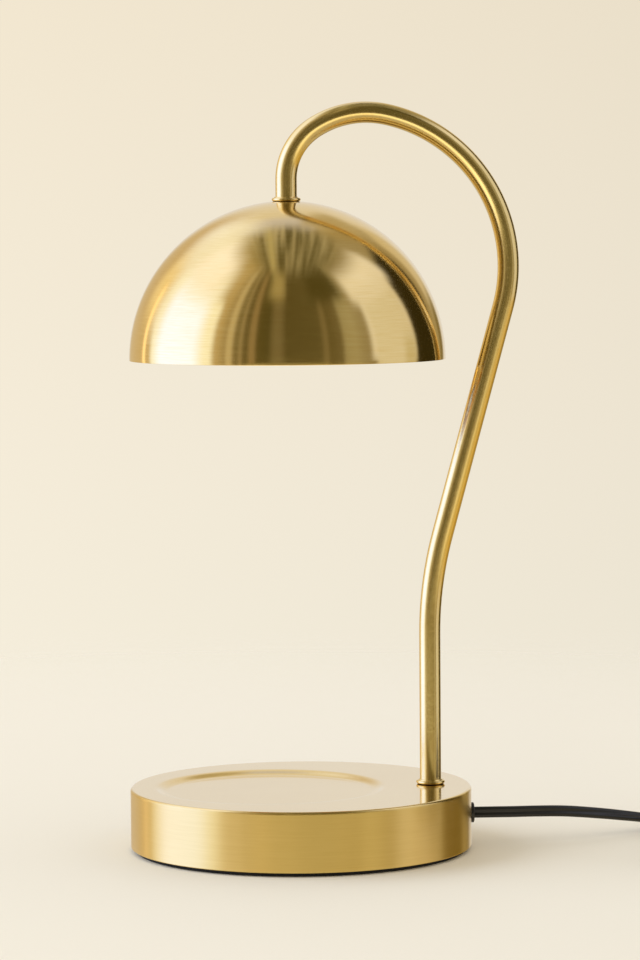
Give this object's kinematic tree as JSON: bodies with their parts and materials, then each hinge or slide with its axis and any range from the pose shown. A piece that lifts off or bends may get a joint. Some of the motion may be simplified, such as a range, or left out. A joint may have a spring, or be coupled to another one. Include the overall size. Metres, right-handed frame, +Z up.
{
  "type": "candle warmer lamp",
  "caption": "Table lamp that warms a candle from above: round weighted base with a shallow dish, bent tube stem and dome shade over a reflector bulb.",
  "frame": {"origin": "on the table under the centre of the round base", "axes": "+Z up; +X from the centre of the base towards the foot of the stem and the cord outlet; +Y away from the picture's camera"},
  "size_m": [0.387, 0.1965, 0.3495],
  "materials": {
    "brushed_brass": "brushed, clear lacquered",
    "polished_brass": "polished",
    "steel": "plain or nickel plated",
    "cast_iron": "rough, blackened",
    "black_foam": "matt",
    "ceramic": "unglazed, off-white",
    "reflector": "silvered glass",
    "bulb_glass": "clear",
    "contact_brass": "satin",
    "black_plastic": "satin",
    "cord_jacket": "satin, slightly glossy",
    "white_sleeve": "woven glass sleeve",
    "board_green": "satin"
  },
  "bodies": {
    "lamp": {"base_pad": "black_foam", "base_bottom_plate": "steel", "plate_screw_1": "steel", "plate_screw_2": "steel", "plate_screw_3": "steel", "base_weight": "cast_iron", "base_shell": "brushed_brass", "foot_collar": "polished_brass", "foot_washer": "steel", "foot_nut": "steel", "stem_tube": "polished_brass", "neck_collar": "polished_brass", "shade": "brushed_brass", "neck_washer": "steel", "neck_nut": "steel", "socket_bracket": "steel", "lampholder": "ceramic", "socket_contact_1": "contact_brass", "socket_contact_2": "contact_brass", "holder_screw_1": "steel", "holder_screw_2": "steel", "cord_bushing": "black_plastic", "cord_tail": "cord_jacket", "stem_lead_1": "white_sleeve", "stem_lead_2": "white_sleeve", "splice_cap_1": "ceramic", "splice_cap_2": "ceramic", "dimmer_lower_shell": "black_plastic", "dimmer_upper_shell": "black_plastic", "dimmer_board": "board_green", "dimmer_pot": "steel", "dimmer_triac": "black_plastic", "dimmer_screw_1": "steel", "dimmer_screw_2": "steel", "dimmer_grommet_1": "black_plastic", "dimmer_grommet_2": "black_plastic", "plug_body": "black_plastic", "plug_blade_1": "steel", "plug_blade_2": "steel", "cord_lamp_run": "cord_jacket", "cord_coil": "cord_jacket", "cord_coil_run": "cord_jacket", "cord_plug_run": "cord_jacket", "coil_tie": "black_foam"},
    "bulb": {"bulb_base": "ceramic", "bulb_reflector": "reflector", "bulb_lens": "bulb_glass", "bulb_capsule": "bulb_glass", "bulb_pin_1": "steel", "bulb_pin_2": "steel"},
    "dial": {"dimmer_dial": "black_plastic", "dimmer_shaft": "steel"}
  },
  "joints": [
    {"name": "bulb_twist", "type": "hinge", "parent": "lamp", "child": "bulb", "pos_m": [-0.00477, 0, 0.275], "axis": [0, 0, 1], "range_deg": [-20, 0]},
    {"name": "dial_turn", "type": "hinge", "parent": "lamp", "child": "dial", "pos_m": [0.292, -0.034, 0.02], "axis": [0, 0, 1], "range_deg": [-150, 150]}
  ]
}
